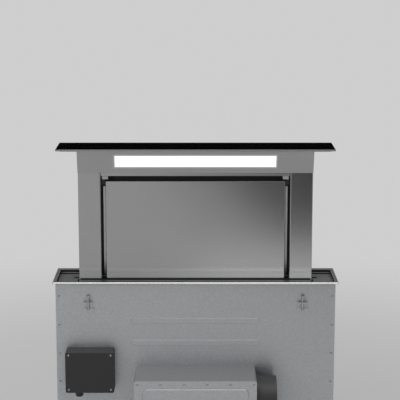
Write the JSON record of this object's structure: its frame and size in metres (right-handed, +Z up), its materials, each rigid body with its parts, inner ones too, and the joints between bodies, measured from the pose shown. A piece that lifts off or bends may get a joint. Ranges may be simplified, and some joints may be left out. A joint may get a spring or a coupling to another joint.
{
  "type": "downdraft vent",
  "caption": "Worktop downdraft vent: a glass-lidded steel column with an inclined light header and a perimeter suction panel rises from a flush frame over a casing with rack lift and blower.",
  "frame": {"origin": "middle of the flush frame, on the worktop's top face", "axes": "+X to the right seen from the cook, -Y towards the cook, +Z up; the column is modelled raised"},
  "size_m": [0.88, 0.3332, 1.0524],
  "materials": {
    "black_glass": "polished black glass with a paler ground edge",
    "brushed_steel": "stainless steel brushed upright",
    "panel_steel": "stainless steel brushed across",
    "frame_steel": "stainless steel brushed along the rim",
    "ledge_steel": "satin stainless steel",
    "dark_steel": "matt dark coated steel",
    "galvanised": "galvanised sheet with a fine spangle",
    "frosted_plastic": "frosted acrylic",
    "light_diffuser": "opal acrylic, lit",
    "aluminium": "plain aluminium",
    "black_rubber": "matt black rubber",
    "black_plastic": "moulded black plastic",
    "grey_plastic": "moulded grey plastic",
    "pale_nylon": "moulded natural nylon",
    "machined_steel": "machined steel, lightly oiled",
    "motor_black": "black painted metal",
    "bronze": "sintered bronze",
    "circuit_green": "green solder mask"
  },
  "bodies": {
    "housing": {"top_frame": "frame_steel", "frame_seal": "black_rubber", "left_ledge": "ledge_steel", "right_ledge": "ledge_steel", "casing_front": "galvanised", "casing_back": "galvanised", "casing_left": "galvanised", "casing_right": "galvanised", "casing_bottom": "galvanised", "guide_rails": "aluminium", "lift_racks": "machined_steel", "limit_switches": "black_plastic", "left_foot": "galvanised", "right_foot": "galvanised", "worktop_clamps": "galvanised", "clamp_screws": "machined_steel", "blower_box": "galvanised", "blower_cover": "galvanised", "inlet_ring": "galvanised", "fan_scroll": "black_plastic", "outlet_transition": "black_plastic", "outlet_collar": "black_plastic", "flap_pin": "machined_steel", "fan_motor": "motor_black", "control_box": "black_plastic", "control_board": "circuit_green", "control_cover": "black_plastic", "cable_gland": "black_plastic"},
    "column": {"glass_top": "black_glass", "glass_carrier": "galvanised", "light_header": "brushed_steel", "led_bezel": "frosted_plastic", "led_diffuser": "light_diffuser", "led_channel": "aluminium", "led_board": "circuit_green", "left_pillar": "brushed_steel", "right_pillar": "brushed_steel", "column_back": "brushed_steel", "column_apron": "brushed_steel", "filter_plate": "dark_steel", "grease_filters": "aluminium", "air_guides": "brushed_steel", "corner_blocks": "grey_plastic", "catch_blocks": "black_plastic", "hinge_pins": "machined_steel", "sill_strip": "brushed_steel", "sill_seal": "black_rubber", "guide_shoes": "pale_nylon", "shaft_bushes": "bronze", "motor_mount": "galvanised", "gear_motor": "motor_black"},
    "cross_shaft": {"cross_shaft": "machined_steel", "rack_pinions": "machined_steel", "shaft_gear": "machined_steel"},
    "motor_pinion": {"motor_pinion": "machined_steel"},
    "suction_panel": {"front_panel": "panel_steel"},
    "impeller": {"impeller": "black_plastic"},
    "front_flap": {"front_flap": "grey_plastic"},
    "rear_flap": {"rear_flap": "grey_plastic"}
  },
  "joints": [
    {"name": "column_lift", "type": "slide", "parent": "housing", "child": "column", "axis": [0, 0, 1], "range_m": [-0.4064, 0]},
    {"name": "shaft_spin", "type": "hinge", "parent": "column", "child": "cross_shaft", "pos_m": [0, 0.03687, -0.125], "axis": [1, 0, 0], "range_deg": [0, 1036]},
    {"name": "motor_spin", "type": "hinge", "parent": "column", "child": "motor_pinion", "pos_m": [0, 0.02987, -0.09071], "axis": [1, 0, 0], "range_deg": [-1381, 0]},
    {"name": "panel_tilt", "type": "hinge", "parent": "column", "child": "suction_panel", "pos_m": [0, -0.019, 0.006], "axis": [1, 0, 0], "range_deg": [0, 75]},
    {"name": "impeller_spin", "type": "hinge", "parent": "housing", "child": "impeller", "pos_m": [-0.022, -0.132, -0.42], "axis": [0, 1, 0], "continuous": true},
    {"name": "front_flap_swing", "type": "hinge", "parent": "housing", "child": "front_flap", "pos_m": [0.197, -0.159, -0.3497], "axis": [0, 0, 1], "range_deg": [0, 75]},
    {"name": "rear_flap_swing", "type": "hinge", "parent": "housing", "child": "rear_flap", "pos_m": [0.197, -0.159, -0.3497], "axis": [0, 0, -1], "range_deg": [0, 75]}
  ],
  "couplings": [
    {"joint": "shaft_spin", "follows": "column_lift", "rad_per_m": -44.444},
    {"joint": "motor_spin", "follows": "column_lift", "rad_per_m": 59.259}
  ]
}
